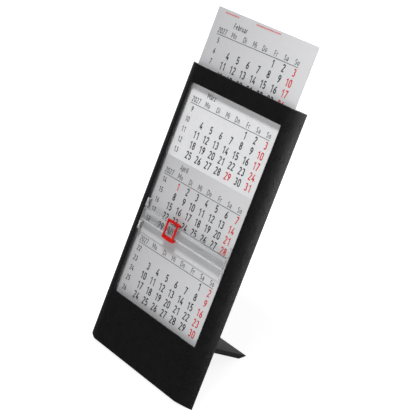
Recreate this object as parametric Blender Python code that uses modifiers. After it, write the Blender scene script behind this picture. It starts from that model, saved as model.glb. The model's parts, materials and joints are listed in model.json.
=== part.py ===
"""Leaning desk calendar: a plastic frame with a window, six month cards that slide in
from the top, a clear date slider with a red marker, and a stand leg that folds up.

Blender units are metres, +Z is up and the calendar faces -Y. The frame is modelled
upright in its own axes (x across, y from the front face backwards, z up the frame) and
an empty leans all of it back. Run: blender --background --python part.py
"""
import math

import bmesh
import bpy
from mathutils import Euler, Matrix, Vector

# ---------------------------------------------------------------- driving dimensions
LEAN = math.radians(26.0)        # the frame leans back this far from upright
GAP = 0.0003                     # air between neighbouring pieces

FRAME_WIDTH = 0.1306
FRAME_HEIGHT = 0.220
WALL = 0.0012                    # thickness of the moulded front shell
END_WALL = 0.002                 # thickness of its top and bottom walls
FLAT_HALF = 0.0505               # the front face is flat out to here
FLANK_TURN = math.radians(22.0)  # slope at the end of the tight first curve
FLANK_END = math.radians(36.0)   # slope at the rear edge of the flank
FLANK_RADIUS = 0.011             # radius of the tight first curve
FLANK_STEPS = 6
EDGE_ROUND = 0.0006

WINDOW_HALF = 0.0519
WINDOW_BOTTOM = 0.041
WINDOW_TOP = 0.2065
WINDOW_CORNER = 0.0010

CARD_HALF = 0.0560
CARD_LENGTH = 0.1754
CARD_THICKNESS = 0.00028
CARD_PITCH = 0.00058             # from one card's face to the next one's
CARD_COUNT = 6
CARD_FRONT = 0.00325             # front card's face, behind the frame's front face
CARD_SEAT = 0.0354               # lower edge of a card that is pushed right in
CARD_PULLED = 0.0538             # the front card stands this far above its seat

COVER_FRONT = 0.00675
COVER_THICKNESS = 0.0012
COVER_HALF = 0.0629
COVER_BOTTOM = 0.0024
COVER_TOP = 0.2176
NOTCH_RADIUS = 0.014             # finger notch in the cover's top edge
NOTCH_SIDES = 40
SLOT_CLEARANCE = 0.0006          # the slot in the top wall is this much wider than a card
RAIL_CLEARANCE = 0.0004
RAIL_WIDTH = 0.0010
RAIL_FRONT = 0.0037              # the rails' front edges, behind the frame's front face
LEDGE_HALF = 0.0500              # the ledge that pushed-in cards rest on
LEDGE_HEIGHT = 0.0015

SLIDER_MIDDLE = 0.10325          # height of the slider on the frame
SLIDER_HALF = 0.0502
BAR_HEIGHT = 0.010
BAR_FRONT = -0.0009              # the bar stands this far proud of the frame
BAR_BACK = 0.0003
SLIDER_FOOT_LOW = 0.0056         # a foot starts this far from the bar's middle line
SLIDER_FOOT_HIGH = 0.0121        # and ends here
SLIDER_FOOT_INNER = 0.0494
SLIDER_FOOT_OUTER = 0.0514
TOE_INNER = 0.0499
TOE_OUTER = 0.0543
TOE_FRONT = 0.00236
TOE_BACK = 0.00285
FOOT_BACK = 0.00295
TOE_INSET = 0.0002               # a toe is this much shorter than its foot at each end
BAR_ROUND = 0.0003
SLIDER_WEB_FRONT = -0.0003       # the web that joins the feet to the bar's end
SLIDER_WEB_BACK = 0.0005

MARKER_MIDDLE = -0.0134
MARKER_HALF = 0.0073
MARKER_STRIP = 0.0015
MARKER_OVERHANG = 0.0012         # the two grips reach past the strips
MARKER_FRONT = -0.0020
GRIP_RADIUS = 0.0010
GRIP_DEPTH = -0.0009
GRIP_BOW = 0.0006
GRIP_STEPS = 8
STRIP_LAP = 0.0003               # the strips end this far past the grips' middle lines
LIP_THICKNESS = 0.0008           # the marker's lips behind the bar
LIP_REACH = 0.0009
HOOK_OUTER = 0.0004              # the hooks' outer faces, past the grips' middle lines
HOOK_INSET = 0.0002

HINGE_UP = 0.0353                # height of the leg's axis on the frame
HINGE_DEPTH = COVER_FRONT + COVER_THICKNESS + 0.00235
LEG_SLOPE = math.radians(30.0)   # slope of the open leg below level
LEG_HALF = 0.031
LEG_THICKNESS = 0.00365
LEG_SKIN = 0.0014
PIN_RADIUS = 0.0010
PIN_HALF = 0.0354
BORE_RADIUS = 0.00135
BARREL_RADIUS = 0.0022
LEG_BAYS = 3                     # pockets under the leg
LEG_RIB = 0.0016
LEG_ROOT = 0.0060                # solid stretch between the hinge and the pockets
LEG_TOE = 0.0095                 # solid stretch at the foot
EAR_WIDTH = 0.003
EAR_CLEARANCE = 0.0006
EAR_REACH = 0.0040               # an ear's web reaches this far above and below the axis
KNUCKLE_RADIUS = 0.0026
PIN_CLEARANCE = 0.00015
STOP_HALF = 0.012                # the block that stops the open leg
STOP_LOW = 0.0085                # it lies between these distances below the axis
STOP_HIGH = 0.0031
STOP_BACK = 0.0012               # and ends this far behind the axis

# ------------------------------------------------------------------ derived places
FLANK_SPAN = FRAME_WIDTH / 2 - FLAT_HALF
FLANK_SWEEP = (FLANK_SPAN - FLANK_RADIUS * math.sin(FLANK_TURN)) / (
    math.sin(FLANK_END) - math.sin(FLANK_TURN))
FRAME_DEPTH = (FLANK_RADIUS * (1 - math.cos(FLANK_TURN))
               + FLANK_SWEEP * (math.cos(FLANK_TURN) - math.cos(FLANK_END)))
CARD_LOW = CARD_SEAT + CARD_PULLED
COVER_BACK = COVER_FRONT + COVER_THICKNESS
COVER_MIDDLE = COVER_FRONT + COVER_THICKNESS / 2
BEHIND_FRAME = FRAME_DEPTH + 0.004   # cutters that open the shell's back end here
AHEAD_OF_FRAME = -0.004              # cutters that open its front start here
WINDOW_BACK = 0.0030                 # the window's cut ends just behind the front wall


def lean_back(point):
    """Turn a point of the upright frame into world directions, without the shift."""
    return Euler((-LEAN, 0, 0)).to_matrix() @ Vector(point)


# The rear bottom edge of the frame stands on the ground, and the whole object's box is
# centred over the origin: its front is the bottom front edge, its back the pulled card.
RISE = -lean_back((0, FRAME_DEPTH, 0)).z
CARD_CREST = lean_back((0, CARD_FRONT + CARD_THICKNESS, CARD_LOW + CARD_LENGTH))
FRAME_PLACE = Vector((0, -CARD_CREST.y / 2, RISE))
HINGE_PLACE = FRAME_PLACE + lean_back((0, HINGE_DEPTH, HINGE_UP))
LEG_LENGTH = HINGE_PLACE.z / math.sin(LEG_SLOPE)


# ------------------------------------------------------------------------ materials
def plastic(name, colour, roughness, metallic=0.0, alpha=1.0):
    """A Principled material in one colour."""
    material = bpy.data.materials.new(name)
    material.use_nodes = True
    shader = material.node_tree.nodes["Principled BSDF"]
    shader.inputs["Base Color"].default_value = (*colour, 1.0)
    shader.inputs["Roughness"].default_value = roughness
    shader.inputs["Metallic"].default_value = metallic
    shader.inputs["Alpha"].default_value = alpha
    return material


# ------------------------------------------------------------------- building tools
def clear_scene():
    for old in list(bpy.data.objects):
        bpy.data.objects.remove(old, do_unlink=True)


def new_collection(name):
    collection = bpy.data.collections.new(name)
    bpy.context.scene.collection.children.link(collection)
    return collection


def add_mesh(name, mesh, collection):
    thing = bpy.data.objects.new(name, mesh)
    collection.objects.link(thing)
    return thing


def block(name, low, high, collection):
    """A box between two corners, its mesh already at full size."""
    low, high = Vector(low), Vector(high)
    shape = bmesh.new()
    bmesh.ops.create_cube(shape, size=1.0)
    size = high - low
    middle = (high + low) / 2
    bmesh.ops.transform(shape, matrix=Matrix.Translation(middle) @ Matrix.Diagonal((*size, 1)),
                        verts=shape.verts)
    mesh = bpy.data.meshes.new(name)
    shape.to_mesh(mesh)
    shape.free()
    return add_mesh(name, mesh, collection)


def rod(name, radius, low_x, high_x, y, z, collection, sides=24):
    """A round bar along x."""
    shape = bmesh.new()
    bmesh.ops.create_cone(shape, cap_ends=True, segments=sides, radius1=radius, radius2=radius,
                          depth=high_x - low_x)
    place = Matrix.Translation(((low_x + high_x) / 2, y, z)) @ Matrix.Rotation(math.pi / 2, 4, "Y")
    bmesh.ops.transform(shape, matrix=place, verts=shape.verts)
    mesh = bpy.data.meshes.new(name)
    shape.to_mesh(mesh)
    shape.free()
    return add_mesh(name, mesh, collection)


def curve_to_mesh(curve_object, collection):
    """Replace a curve by its closed mesh, so that it can be cut or joined."""
    bpy.context.view_layer.update()
    graph = bpy.context.evaluated_depsgraph_get()
    mesh = bpy.data.meshes.new_from_object(curve_object.evaluated_get(graph))
    shape = bmesh.new()
    shape.from_mesh(mesh)
    bmesh.ops.remove_doubles(shape, verts=shape.verts, dist=0.000005)
    bmesh.ops.recalc_face_normals(shape, faces=shape.faces)
    shape.to_mesh(mesh)
    shape.free()
    solid = add_mesh(curve_object.name + "_solid", mesh, collection)
    solid.matrix_world = curve_object.matrix_world
    name = curve_object.name
    bpy.data.objects.remove(curve_object, do_unlink=True)
    solid.name = name
    return solid


def extruded(name, outline, low, high, collection):
    """A flat closed outline in x and y, extruded from low to high along z."""
    curve = bpy.data.curves.new(name, "CURVE")
    curve.dimensions = "2D"
    curve.fill_mode = "BOTH"
    curve.extrude = (high - low) / 2
    spline = curve.splines.new("POLY")
    spline.points.add(len(outline) - 1)
    for point, (x, y) in zip(spline.points, outline):
        point.co = (x, y, 0, 1)
    spline.use_cyclic_u = True
    solid = curve_to_mesh(add_mesh(name, curve, collection), collection)
    solid.data.transform(Matrix.Translation((0, 0, (high + low) / 2)))
    return solid


def side_profile(name, outline, low_x, high_x, collection):
    """A closed outline in y and z, extruded along x."""
    solid = extruded(name, outline, low_x, high_x, collection)
    solid.data.transform(Matrix(((0, 0, 1, 0), (1, 0, 0, 0), (0, 1, 0, 0), (0, 0, 0, 1))))
    return solid


def boolean(target, tool, operation):
    step = target.modifiers.new(operation.lower() + "_" + tool.name, "BOOLEAN")
    step.operation = operation
    step.solver = "EXACT"
    step.object = tool
    tool.hide_render = True
    tool.display_type = "WIRE"


def rounded_box(name, low, high, radius, edge_axis, collection):
    """A box whose four edges along one axis are rounded."""
    box = block(name, low, high, collection)
    shape = bmesh.new()
    shape.from_mesh(box.data)
    edges = [edge for edge in shape.edges
             if abs((edge.verts[0].co - edge.verts[1].co).normalized()[edge_axis]) > 0.9]
    bmesh.ops.bevel(shape, geom=edges, offset=radius, segments=4, affect="EDGES", profile=0.5)
    shape.to_mesh(box.data)
    shape.free()
    return box


# ------------------------------------------------------------------------- the frame
def flank_points(inset):
    """The right half of the front shell's section, from the flat to the rear edge."""
    points = []
    for step in range(FLANK_STEPS + 1):
        slope = FLANK_TURN * step / FLANK_STEPS
        x = FLAT_HALF + FLANK_RADIUS * math.sin(slope)
        y = FLANK_RADIUS * (1 - math.cos(slope))
        points.append((x - inset * math.sin(slope), y + inset * math.cos(slope)))
    turn_x = FLAT_HALF + FLANK_RADIUS * math.sin(FLANK_TURN)
    turn_y = FLANK_RADIUS * (1 - math.cos(FLANK_TURN))
    for step in range(1, FLANK_STEPS + 1):
        slope = FLANK_TURN + (FLANK_END - FLANK_TURN) * step / FLANK_STEPS
        x = turn_x + FLANK_SWEEP * (math.sin(slope) - math.sin(FLANK_TURN))
        y = turn_y + FLANK_SWEEP * (math.cos(FLANK_TURN) - math.cos(slope))
        points.append((x - inset * math.sin(slope), y + inset * math.cos(slope)))
    return points


def section(inset, back):
    """The closed section of the shell: both flanks, closed by a straight back."""
    right = flank_points(inset)
    left = [(-x, y) for x, y in reversed(right)]
    outline = left + right
    if back > right[-1][1]:
        outline = [(left[0][0], back)] + outline + [(right[-1][0], back)]
    return outline


def make_front_frame(parts, cutters, material):
    frame = extruded("front_frame", section(0, 0), 0, FRAME_HEIGHT, parts)
    rounding = frame.modifiers.new("round_edges", "BEVEL")
    rounding.width = EDGE_ROUND
    rounding.segments = 2
    rounding.limit_method = "ANGLE"
    rounding.angle_limit = math.radians(50)
    hollow = extruded("frame_hollow", section(WALL, BEHIND_FRAME),
                      END_WALL, FRAME_HEIGHT - END_WALL, cutters)
    boolean(frame, hollow, "DIFFERENCE")
    slot_half = CARD_HALF + SLOT_CLEARANCE
    slot = block("card_slot", (-slot_half, CARD_FRONT - GAP, FRAME_HEIGHT - 2 * END_WALL),
                 (slot_half, BEHIND_FRAME, FRAME_HEIGHT + END_WALL), cutters)
    boolean(frame, slot, "DIFFERENCE")
    window = rounded_box("window", (-WINDOW_HALF, AHEAD_OF_FRAME, WINDOW_BOTTOM),
                         (WINDOW_HALF, WINDOW_BACK, WINDOW_TOP), WINDOW_CORNER, 1, cutters)
    boolean(frame, window, "DIFFERENCE")
    frame.data.materials.append(material)
    return frame


def make_rear_cover(parts, cutters, material):
    """The back panel with the card rails, the card ledge and the leg's hinge ears."""
    cover = block("rear_cover", (-COVER_HALF, COVER_FRONT, COVER_BOTTOM),
                  (COVER_HALF, COVER_BACK, COVER_TOP), parts)
    ledge_top = CARD_SEAT - GAP
    rail_inner = CARD_HALF + RAIL_CLEARANCE
    for side in (-1, 1):
        low_x, high_x = sorted((side * rail_inner, side * (rail_inner + RAIL_WIDTH)))
        rail = block(f"rail_{side}", (low_x, RAIL_FRONT, ledge_top - LEDGE_HEIGHT),
                     (high_x, COVER_MIDDLE, COVER_TOP - COVER_THICKNESS), cutters)
        boolean(cover, rail, "UNION")
    ledge = block("card_ledge", (-LEDGE_HALF, WALL + 2 * GAP, ledge_top - LEDGE_HEIGHT),
                  (LEDGE_HALF, COVER_MIDDLE, ledge_top), cutters)
    boolean(cover, ledge, "UNION")
    turns = [math.tau * k / NOTCH_SIDES for k in range(NOTCH_SIDES)]
    notch = extruded("finger_notch",
                     [(NOTCH_RADIUS * math.cos(a), NOTCH_RADIUS * math.sin(a)) for a in turns],
                     -2 * COVER_THICKNESS, 2 * COVER_THICKNESS, cutters)
    notch.data.transform(Matrix.Translation((0, COVER_BACK, COVER_TOP))
                         @ Matrix.Rotation(math.pi / 2, 4, "X"))
    boolean(cover, notch, "DIFFERENCE")
    for side in (-1, 1):
        inner = side * (LEG_HALF + EAR_CLEARANCE)
        low_x, high_x = sorted((inner, inner + side * EAR_WIDTH))
        web = block(f"ear_web_{side}", (low_x, COVER_MIDDLE, HINGE_UP - EAR_REACH),
                    (high_x, HINGE_DEPTH, HINGE_UP + EAR_REACH), cutters)
        knuckle = rod(f"ear_round_{side}", KNUCKLE_RADIUS, low_x, high_x, HINGE_DEPTH, HINGE_UP,
                      cutters)
        boolean(cover, web, "UNION")
        boolean(cover, knuckle, "UNION")
    bore = rod("pin_bore", PIN_RADIUS + PIN_CLEARANCE, -COVER_HALF, COVER_HALF, HINGE_DEPTH,
               HINGE_UP, cutters)
    boolean(cover, bore, "DIFFERENCE")
    stop = block("leg_stop", (-STOP_HALF, COVER_MIDDLE, HINGE_UP - STOP_LOW),
                 (STOP_HALF, HINGE_DEPTH + STOP_BACK, HINGE_UP - STOP_HIGH), cutters)
    boolean(cover, stop, "UNION")
    cover.data.materials.append(material)
    return cover


def make_leg(parts, cutters, material, pivot):
    """The stand leg in its own axes: y runs from the hinge to the foot, z is its top."""
    half = LEG_THICKNESS / 2
    run = half / math.tan(LEG_SLOPE)
    root = BARREL_RADIUS / 2
    outline = [(root, -half), (LEG_LENGTH - run, -half), (LEG_LENGTH + run, half), (root, half)]
    leg = side_profile("stand_leg", outline, -LEG_HALF, LEG_HALF, parts)
    barrel = rod("leg_barrel", BARREL_RADIUS, -LEG_HALF, LEG_HALF, 0, 0, cutters)
    barrel.parent = pivot
    boolean(leg, barrel, "UNION")
    bore = rod("leg_bore", BORE_RADIUS, -LEG_HALF * 1.2, LEG_HALF * 1.2, 0, 0, cutters)
    bore.parent = pivot
    boolean(leg, bore, "DIFFERENCE")
    bay_width = (2 * LEG_HALF - (LEG_BAYS + 1) * LEG_RIB) / LEG_BAYS
    for bay in range(LEG_BAYS):
        low_x = -LEG_HALF + LEG_RIB + bay * (bay_width + LEG_RIB)
        pocket = block(f"leg_pocket_{bay}", (low_x, LEG_ROOT, -LEG_THICKNESS),
                       (low_x + bay_width, LEG_LENGTH - LEG_TOE, half - LEG_SKIN), cutters)
        pocket.parent = pivot
        boolean(leg, pocket, "DIFFERENCE")
    leg.parent = pivot
    leg.data.materials.append(material)
    return leg


def make_hinge_pin(parts, material):
    pin = rod("hinge_pin", PIN_RADIUS, -PIN_HALF, PIN_HALF, HINGE_DEPTH, HINGE_UP, parts)
    pin.data.materials.append(material)
    return pin


# ------------------------------------------------------------------------ the cards
def make_card(number, parts, material):
    front = CARD_FRONT + (number - 1) * CARD_PITCH
    low = CARD_LOW if number == 1 else CARD_SEAT
    card = block(f"month_card_{number}", (-CARD_HALF, front, low),
                 (CARD_HALF, front + CARD_THICKNESS, low + CARD_LENGTH), parts)
    card.data.materials.append(material)
    return card


# ------------------------------------------------------------- the slider and marker
def make_slider(parts, cutters, material):
    """A clear bar across the window. At each end an upper and a lower foot reach back
    past the window's edge, and their toes run behind it."""
    half = BAR_HEIGHT / 2
    slider = block("slider_bar", (-SLIDER_HALF, BAR_FRONT, SLIDER_MIDDLE - half),
                   (SLIDER_HALF, BAR_BACK, SLIDER_MIDDLE + half), parts)
    rounding = slider.modifiers.new("round_edges", "BEVEL")
    rounding.width = BAR_ROUND
    rounding.segments = 2
    for side in (-1, 1):
        low_x, high_x = sorted((side * SLIDER_FOOT_INNER, side * SLIDER_FOOT_OUTER))
        web = block(f"slider_end_{side}",
                    (low_x, SLIDER_WEB_FRONT, SLIDER_MIDDLE - SLIDER_FOOT_HIGH),
                    (high_x, SLIDER_WEB_BACK, SLIDER_MIDDLE + SLIDER_FOOT_HIGH), cutters)
        boolean(slider, web, "UNION")
        for way in (-1, 1):
            low_z, high_z = sorted((SLIDER_MIDDLE + way * SLIDER_FOOT_LOW,
                                    SLIDER_MIDDLE + way * SLIDER_FOOT_HIGH))
            foot = block(f"slider_foot_{side}_{way}", (low_x, 0, low_z), (high_x, FOOT_BACK, high_z),
                         cutters)
            boolean(slider, foot, "UNION")
            toe_x = sorted((side * TOE_INNER, side * TOE_OUTER))
            toe = block(f"slider_toe_{side}_{way}", (toe_x[0], TOE_FRONT, low_z + TOE_INSET),
                        (toe_x[1], TOE_BACK, high_z - TOE_INSET), cutters)
            boolean(slider, toe, "UNION")
    slider.data.materials.append(material)
    return slider


def grip_curve(name, z, bow, collection):
    """A rod along x whose middle is pushed out by bow."""
    curve = bpy.data.curves.new(name, "CURVE")
    curve.dimensions = "3D"
    curve.bevel_depth = GRIP_RADIUS
    curve.bevel_resolution = 2
    curve.use_fill_caps = True
    spline = curve.splines.new("POLY")
    spline.points.add(GRIP_STEPS)
    for index, point in enumerate(spline.points):
        along = -1 + 2 * index / GRIP_STEPS
        point.co = (MARKER_MIDDLE + MARKER_HALF * along, GRIP_DEPTH, z + bow * (1 - along * along), 1)
    return curve_to_mesh(add_mesh(name, curve, collection), collection)


def make_marker(parts, cutters, material):
    """The red marker: two grips above and below the bar, joined by two strips in front
    of it, with lips that hook behind it."""
    half = BAR_HEIGHT / 2
    grip_up = half + GAP + GRIP_RADIUS
    low_x = MARKER_MIDDLE - MARKER_HALF + MARKER_OVERHANG
    high_x = MARKER_MIDDLE + MARKER_HALF - MARKER_OVERHANG
    strip_end = grip_up + STRIP_LAP
    marker = block("date_marker", (low_x, MARKER_FRONT, SLIDER_MIDDLE - strip_end),
                   (low_x + MARKER_STRIP, BAR_FRONT - GAP, SLIDER_MIDDLE + strip_end), parts)
    second = block("marker_strip", (high_x - MARKER_STRIP, MARKER_FRONT, SLIDER_MIDDLE - strip_end),
                   (high_x, BAR_FRONT - GAP, SLIDER_MIDDLE + strip_end), cutters)
    pieces = [grip_curve("marker_grip_top", SLIDER_MIDDLE + grip_up, 0.0, cutters),
              grip_curve("marker_grip_low", SLIDER_MIDDLE - grip_up, -GRIP_BOW, cutters)]
    lip_front = BAR_BACK + GAP
    lip_back = lip_front + LIP_THICKNESS
    for way in (-1, 1):
        inner = SLIDER_MIDDLE + way * (half + GAP)
        outer = SLIDER_MIDDLE + way * (grip_up + HOOK_OUTER)
        lip = SLIDER_MIDDLE + way * (half - LIP_REACH)
        hook = [(GRIP_DEPTH, inner), (lip_front, inner), (lip_front, lip),
                (lip_back, lip), (lip_back, outer), (GRIP_DEPTH, outer)]
        pieces.append(side_profile(f"marker_hook_{way}", hook, low_x + HOOK_INSET,
                                   high_x - HOOK_INSET, cutters))
    for piece in [pieces[0], second] + pieces[1:]:
        boolean(marker, piece, "UNION")
    marker.data.materials.append(material)
    return marker


# ------------------------------------------------------------------------- assembly
def smooth_round_pieces(parts):
    for thing in parts.objects:
        if thing.type == "MESH":
            thing.data.shade_smooth()
            thing.data.set_sharp_from_angle(angle=math.radians(30))


def build():
    clear_scene()
    parts = new_collection("desk_calendar")
    cutters = new_collection("cutters")
    guides = new_collection("pivots")

    black = plastic("black_plastic", (0.012, 0.012, 0.013), 0.55)
    clear = plastic("clear_plastic", (0.85, 0.87, 0.90), 0.10, alpha=0.35)
    red = plastic("red_plastic", (0.75, 0.01, 0.008), 0.35)
    card = plastic("card", (0.80, 0.80, 0.81), 0.70)
    steel = plastic("steel", (0.55, 0.55, 0.56), 0.30, metallic=1.0)

    frame_empty = bpy.data.objects.new("frame_axes", None)
    guides.objects.link(frame_empty)
    frame_empty.location = FRAME_PLACE
    frame_empty.rotation_euler = (-LEAN, 0, 0)
    leg_pivot = bpy.data.objects.new("leg_axis", None)
    guides.objects.link(leg_pivot)
    leg_pivot.location = HINGE_PLACE
    leg_pivot.rotation_euler = (-LEG_SLOPE, 0, 0)

    make_front_frame(parts, cutters, black)
    make_rear_cover(parts, cutters, black)
    make_hinge_pin(parts, steel)
    for number in range(1, CARD_COUNT + 1):
        make_card(number, parts, card)
    make_slider(parts, cutters, clear)
    make_marker(parts, cutters, red)
    for thing in list(parts.objects) + list(cutters.objects):
        thing.parent = frame_empty
    make_leg(parts, cutters, black, leg_pivot)
    smooth_round_pieces(parts)


build()
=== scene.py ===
"""Looks of the leaning desk calendar.

Pieces are built in the frame's own axes (x across, y from the front face backwards, z up
the frame, metres) and then leaned back into the world by the matrix LEANED.
"""

import calendar
import json
import math

import bmesh
import bpy
from mathutils import Matrix, Vector


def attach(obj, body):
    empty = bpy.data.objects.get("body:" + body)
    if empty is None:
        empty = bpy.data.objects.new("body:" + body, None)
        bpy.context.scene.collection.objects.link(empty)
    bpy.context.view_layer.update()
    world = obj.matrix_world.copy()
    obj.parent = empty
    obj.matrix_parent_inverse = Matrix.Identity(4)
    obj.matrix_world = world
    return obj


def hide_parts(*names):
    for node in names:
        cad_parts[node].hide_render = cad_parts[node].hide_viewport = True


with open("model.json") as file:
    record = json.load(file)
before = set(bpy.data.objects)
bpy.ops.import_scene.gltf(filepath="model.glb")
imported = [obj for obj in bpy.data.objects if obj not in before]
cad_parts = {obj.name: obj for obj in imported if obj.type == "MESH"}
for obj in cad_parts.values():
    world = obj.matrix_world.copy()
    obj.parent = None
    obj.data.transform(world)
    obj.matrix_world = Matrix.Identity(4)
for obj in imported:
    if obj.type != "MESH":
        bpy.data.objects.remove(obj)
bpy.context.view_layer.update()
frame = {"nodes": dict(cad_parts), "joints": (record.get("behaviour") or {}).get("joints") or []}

# ------------------------------------------------------------------- the frame's axes
slide_axis = next(j["axis"] for j in frame["joints"] if j["name"] == "slider_travel")
LEAN = math.atan2(slide_axis[1], slide_axis[2])
UPRIGHT = Matrix.Rotation(LEAN, 3, "X")


def upright_box(node):
    """A CAD node's lowest and highest corners after the whole frame is stood upright."""
    corners = [UPRIGHT @ vertex.co for vertex in frame["nodes"][node].data.vertices]
    return (Vector(map(min, zip(*corners))), Vector(map(max, zip(*corners))))


shell_low, shell_high = upright_box("front_frame")
ORIGIN = Vector((0, shell_low.y, shell_low.z))
LEANED = Matrix.Rotation(-LEAN, 4, "X") @ Matrix.Translation(ORIGIN)


def frame_box(node):
    """A CAD node's box in the frame's own axes."""
    low, high = upright_box(node)
    return low - ORIGIN, high - ORIGIN


# ------------------------------------------------------------------------- dimensions
MM = 0.001
FRAME_HALF = shell_high.x
FRAME_HEIGHT = shell_high.z - shell_low.z
FRAME_DEPTH = shell_high.y - shell_low.y

WALL = 1.2 * MM
END_WALL = 2.0 * MM
FLAT_HALF = 50.5 * MM
FLANK_TURN = math.radians(22)
FLANK_END = math.radians(36)
FLANK_RADIUS = 11 * MM
EDGE_ROUND = 0.45 * MM

WINDOW_HALF = 51.9 * MM
WINDOW_BOTTOM = 41 * MM
WINDOW_TOP = 206.5 * MM
WINDOW_CORNER = 1.0 * MM
WINDOW_LIP = 0.2 * MM            # rounding of the window's front edge
WINDOW_CUT = (-4 * MM, 3 * MM)   # the window is cut between these depths
OPEN_BACK = FRAME_DEPTH + 4 * MM  # the hollow is cut to here, past the rear edge
SLOT_SIDE, SLOT_FRONT = 0.6 * MM, 0.3 * MM    # room round the cards in the top slot

LINES = (18.6 * MM, 71.8 * MM, 127.4 * MM)    # underlines below a card's top edge


# ----------------------------------------------------------------------------- camera
def make_camera():
    """Long lens, 54 degrees round to the right of the calendar and 26 above it."""
    data = bpy.data.cameras.new("camera")
    data.lens = 121.15
    data.sensor_width = 36
    camera = bpy.data.objects.new("camera", data)
    bpy.context.scene.collection.objects.link(camera)
    camera.location = (0.7296, -0.5232, 0.5489)
    camera.rotation_euler = (math.radians(90 - 25.78), 0, math.radians(53.94))
    bpy.context.scene.camera = camera


# -------------------------------------------------------------------------- materials
def new_material(name):
    material = bpy.data.materials.new(name)
    material.use_nodes = True
    return material, material.node_tree, material.node_tree.nodes["Principled BSDF"]


def noise(tree, scale, detail=3.0, stretch=(1, 1, 1)):
    """Noise in the object's own coordinates, with features of about 1 / scale metres."""
    place = tree.nodes.new("ShaderNodeTexCoord")
    mapping = tree.nodes.new("ShaderNodeMapping")
    mapping.inputs["Scale"].default_value = stretch
    texture = tree.nodes.new("ShaderNodeTexNoise")
    texture.inputs["Scale"].default_value = scale
    texture.inputs["Detail"].default_value = detail
    tree.links.new(place.outputs["Object"], mapping.inputs["Vector"])
    tree.links.new(mapping.outputs["Vector"], texture.inputs["Vector"])
    return texture.outputs["Fac"]


def spread(tree, value, low, high, start=0.3, end=0.7):
    """Map a noise value onto low..high."""
    ranged = tree.nodes.new("ShaderNodeMapRange")
    ranged.inputs["From Min"].default_value = start
    ranged.inputs["From Max"].default_value = end
    ranged.inputs["To Min"].default_value = low
    ranged.inputs["To Max"].default_value = high
    tree.links.new(value, ranged.inputs["Value"])
    return ranged.outputs["Result"]


def two_tones(tree, value, first, second):
    ramp = tree.nodes.new("ShaderNodeValToRGB")
    ramp.color_ramp.elements[0].position = 0.35
    ramp.color_ramp.elements[0].color = (*first, 1)
    ramp.color_ramp.elements[1].position = 0.65
    ramp.color_ramp.elements[1].color = (*second, 1)
    tree.links.new(value, ramp.inputs["Fac"])
    return ramp.outputs["Color"]


def add_bump(tree, shader, height, strength, depth):
    bump = tree.nodes.new("ShaderNodeBump")
    bump.inputs["Strength"].default_value = strength
    bump.inputs["Distance"].default_value = depth
    tree.links.new(height, bump.inputs["Height"])
    tree.links.new(bump.outputs["Normal"], shader.inputs["Normal"])


def moulded_plastic(name, tones, roughness, grain, depth, gloss=0.3):
    """Opaque moulded plastic: an eroded matte grain, cloudy roughness, two close tones."""
    material, tree, shader = new_material(name)
    cloud = noise(tree, 140, 4)
    tree.links.new(two_tones(tree, cloud, *tones), shader.inputs["Base Color"])
    tree.links.new(spread(tree, cloud, roughness - 0.02, roughness + 0.02),
                   shader.inputs["Roughness"])
    shader.inputs["Specular IOR Level"].default_value = gloss
    add_bump(tree, shader, noise(tree, grain, 3), 0.6, depth)
    return material


def clear_plastic(name):
    """Clear polished plastic with faint flow ripples."""
    material, tree, shader = new_material(name)
    flow = noise(tree, 60, 1, (1, 3, 3))
    tree.links.new(two_tones(tree, flow, (0.95, 0.96, 0.97), (0.98, 0.985, 0.99)),
                   shader.inputs["Base Color"])
    tree.links.new(spread(tree, flow, 0.02, 0.05), shader.inputs["Roughness"])
    shader.inputs["Transmission Weight"].default_value = 0.93
    shader.inputs["IOR"].default_value = 1.49
    add_bump(tree, shader, flow, 0.05, 0.00002)
    return material


def frosted_plastic(name):
    """The same clear plastic where its edges are slightly frosted and catch the light."""
    material, tree, shader = new_material(name)
    haze = noise(tree, 700, 3)
    tree.links.new(two_tones(tree, haze, (0.88, 0.88, 0.89), (0.94, 0.94, 0.95)),
                   shader.inputs["Base Color"])
    tree.links.new(spread(tree, haze, 0.25, 0.40), shader.inputs["Roughness"])
    shader.inputs["Transmission Weight"].default_value = 0.6
    shader.inputs["IOR"].default_value = 1.49
    return material


def paper(name, tones):
    """Uncoated card: fine fibres along one way, a faint mottle."""
    material, tree, shader = new_material(name)
    mottle = noise(tree, 400, 5)
    tree.links.new(two_tones(tree, mottle, *tones), shader.inputs["Base Color"])
    tree.links.new(spread(tree, mottle, 0.72, 0.85), shader.inputs["Roughness"])
    shader.inputs["Specular IOR Level"].default_value = 0.25
    add_bump(tree, shader, noise(tree, 2600, 4, (1, 1, 0.35)), 0.25, 0.00004)
    return material


def tinted_paper(name, left, right, reach):
    """Card printed with a grey tint, with painted light over it: the tint grows paler from left to
    right, as if more light fell on the right.
    """
    material = paper(name, (left, right))
    tree = material.node_tree
    shader = tree.nodes["Principled BSDF"]
    ramp = shader.inputs["Base Color"].links[0].from_node
    ramp.color_ramp.elements[0].position = 0.0
    ramp.color_ramp.elements[1].position = 1.0
    mottle = ramp.inputs["Fac"].links[0].from_socket
    place = tree.nodes.new("ShaderNodeTexCoord")
    axes = tree.nodes.new("ShaderNodeSeparateXYZ")
    tree.links.new(place.outputs["Object"], axes.inputs["Vector"])
    # painted light: across the card the tint runs from its darker left tone to its paler right
    # tone, a painted shading for light falling from the right
    across = spread(tree, axes.outputs["X"], 0, 1, -reach, reach)
    grainy = tree.nodes.new("ShaderNodeMath")
    grainy.operation = "MULTIPLY_ADD"
    grainy.inputs[1].default_value = 0.3
    tree.links.new(mottle, grainy.inputs[0])
    tree.links.new(across, grainy.inputs[2])
    centred = tree.nodes.new("ShaderNodeMath")
    centred.operation = "SUBTRACT"
    centred.inputs[1].default_value = 0.15
    tree.links.new(grainy.outputs["Value"], centred.inputs[0])
    tree.links.new(centred.outputs["Value"], ramp.inputs["Fac"])
    return material


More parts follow.
